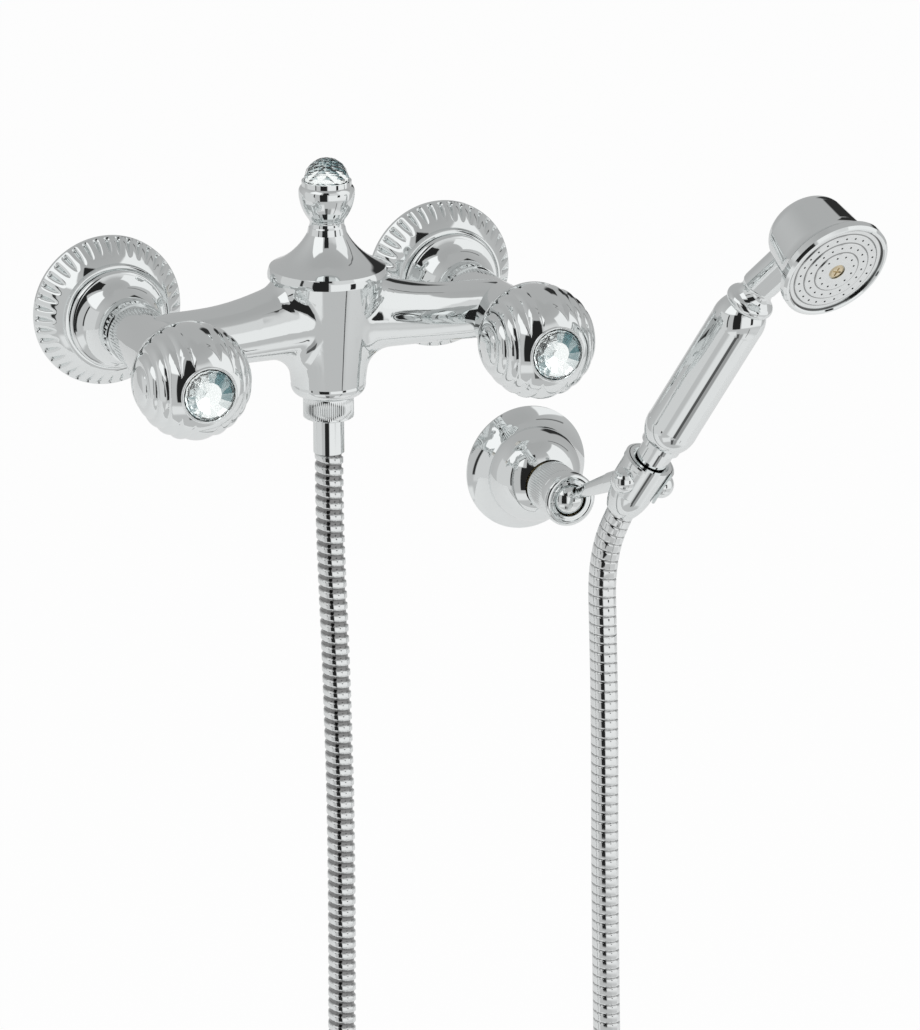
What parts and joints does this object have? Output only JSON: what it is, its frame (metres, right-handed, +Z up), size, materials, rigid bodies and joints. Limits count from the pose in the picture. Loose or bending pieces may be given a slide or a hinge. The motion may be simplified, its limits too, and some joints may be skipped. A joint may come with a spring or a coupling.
{
  "type": "wall-mounted shower mixer",
  "caption": "Two-handle wall shower mixer with ball knobs, crystal caps, ribbed hose and a hand shower resting in a swivelling wall cradle",
  "frame": {"origin": "on the wall, midway between the two water inlets", "axes": "+Z up, +Y into the wall, +X to the right as seen by someone facing the wall"},
  "size_m": [0.3082, 0.2134, 0.7059],
  "materials": {
    "chrome": "polished",
    "hose_metal": "polished, ribbed",
    "brass": "turned",
    "crystal": "cut and polished",
    "rubber": "moulded",
    "discs": "ground"
  },
  "bodies": {
    "root": {"inlet_union_left": "brass", "headwork_left": "brass", "fixed_disc_left": "discs", "inlet_gasket_left": "rubber", "rosette_left": "chrome", "bell_left": "chrome", "union_nut_left": "chrome", "inlet_union_right": "brass", "headwork_right": "brass", "fixed_disc_right": "discs", "inlet_gasket_right": "rubber", "rosette_right": "chrome", "bell_right": "chrome", "union_nut_right": "chrome", "mixer_body": "chrome", "finial_cup": "chrome", "hose_nut": "chrome", "mixer_ferrule": "chrome", "bracket_rosette": "chrome", "outlet_nipple": "brass", "check_valve": "brass", "bracket_plate": "brass", "bracket_screws": "brass", "bracket_socket": "brass", "outlet_gasket": "rubber", "finial_crystal": "crystal", "hose_mixer_leg": "hose_metal", "hose_loop": "hose_metal", "hose_hand_leg": "hose_metal"},
    "knob_left_turning": {"knob_left": "chrome", "knob_screw_left": "brass", "knob_crystal_left": "crystal", "spindle_left": "brass", "turning_disc_left": "discs"},
    "knob_right_turning": {"knob_right": "chrome", "knob_screw_right": "brass", "knob_crystal_right": "crystal", "spindle_right": "brass", "turning_disc_right": "discs"},
    "clamp": {"clamp_nut": "chrome"},
    "arm": {"ball_arm": "chrome", "cradle": "chrome"},
    "hose_end": {"hand_ferrule": "chrome"},
    "hand_shower": {"cone_nut": "chrome", "hand_gasket": "rubber", "shank": "chrome", "water_tube": "brass", "handle": "chrome", "collar": "chrome", "shower_head": "chrome", "rim_ring": "chrome", "spray_plate": "chrome", "spray_gasket": "rubber", "plate_screw": "brass"}
  },
  "joints": [
    {"name": "left_knob_turn", "type": "hinge", "parent": "root", "child": "knob_left_turning", "pos_m": [-0.075, -0.1105, 0], "axis": [0, -1, 0], "range_deg": [0, 90]},
    {"name": "right_knob_turn", "type": "hinge", "parent": "root", "child": "knob_right_turning", "pos_m": [0.075, -0.1105, 0], "axis": [0, 1, 0], "range_deg": [0, 90]},
    {"name": "clamp_nut_turn", "type": "hinge", "parent": "root", "child": "clamp", "pos_m": [0.1161, -0.0365, -0.0929], "axis": [0, -1, 0], "range_deg": [0, 60]},
    {"name": "arm_tilt", "type": "hinge", "parent": "root", "child": "arm", "pos_m": [0.1161, -0.0455, -0.0929], "axis": [1, 0, 0], "range_deg": [-3, 50], "deforming": ["hose_hand_leg"]},
    {"name": "hand_shower_lift", "type": "slide", "parent": "arm", "child": "hose_end", "axis": [0.3087, -0.4067, 0.8599], "range_m": [0, 0.034], "deforming": ["hose_hand_leg"]},
    {"name": "hand_shower_turn", "type": "hinge", "parent": "hose_end", "child": "hand_shower", "pos_m": [0.1328, -0.0962, -0.0638], "axis": [0.3087, -0.4067, 0.8599], "range_deg": [-180, 180]}
  ]
}
